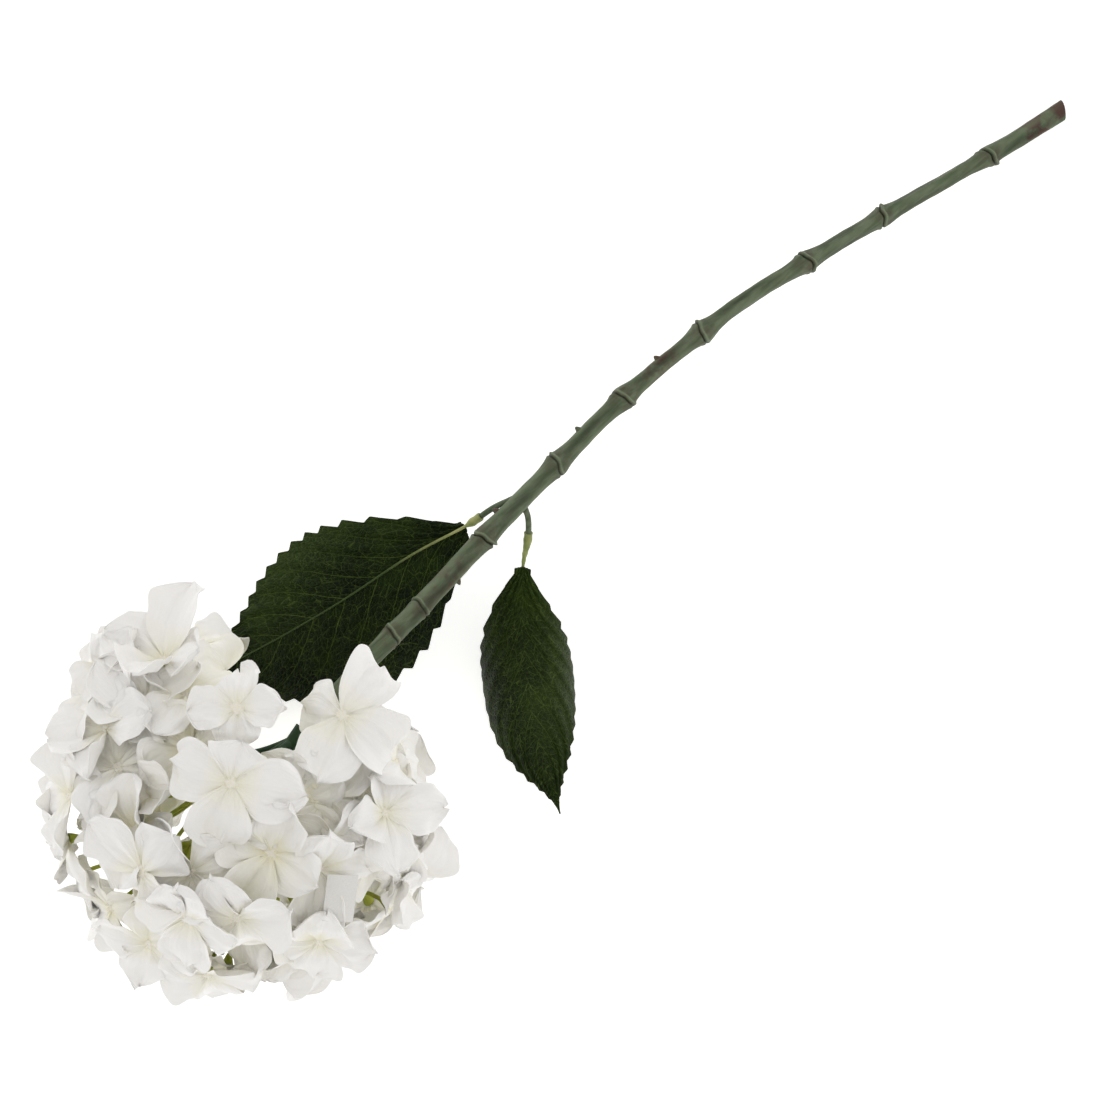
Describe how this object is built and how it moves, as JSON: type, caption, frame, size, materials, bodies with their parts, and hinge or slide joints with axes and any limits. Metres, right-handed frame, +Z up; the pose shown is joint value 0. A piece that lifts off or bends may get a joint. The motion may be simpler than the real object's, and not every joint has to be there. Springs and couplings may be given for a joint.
{
  "type": "artificial cut hydrangea",
  "caption": "Cut flower stem lying down: a ball of white four-petalled florets on green pedicels, a knobbly moulded stem and two toothed leaves.",
  "frame": {"origin": "middle of the part's box on the table it lies on", "axes": "+X along the stem towards its cut end, +Z up from the table"},
  "size_m": [0.56, 0.1892, 0.1616],
  "materials": {
    "stem": "matte",
    "branches": "matte",
    "pedicel": "matte",
    "petal": "matte",
    "leaf_blade": "matte",
    "leaf_rib": "matte",
    "tag": "matte"
  },
  "bodies": {
    "root": {"branches": "branches", "florets_1": "petal", "florets_2": "petal", "florets_3": "petal", "florets_4": "petal", "florets_5": "petal", "florets_6": "petal", "florets_7": "petal", "florets_8": "petal", "florets_9": "petal", "leaf_blade_large": "leaf_blade", "leaf_blade_small": "leaf_blade", "leaf_rib_large": "leaf_rib", "leaf_rib_small": "leaf_rib", "pedicel_spray_1": "pedicel", "pedicel_spray_2": "pedicel", "pedicel_spray_3": "pedicel", "pedicel_spray_4": "pedicel", "pedicel_spray_5": "pedicel", "pedicel_spray_6": "pedicel", "pedicel_spray_7": "pedicel", "pedicel_spray_8": "pedicel", "stem": "stem", "tag": "tag"}
  },
  "joints": []
}
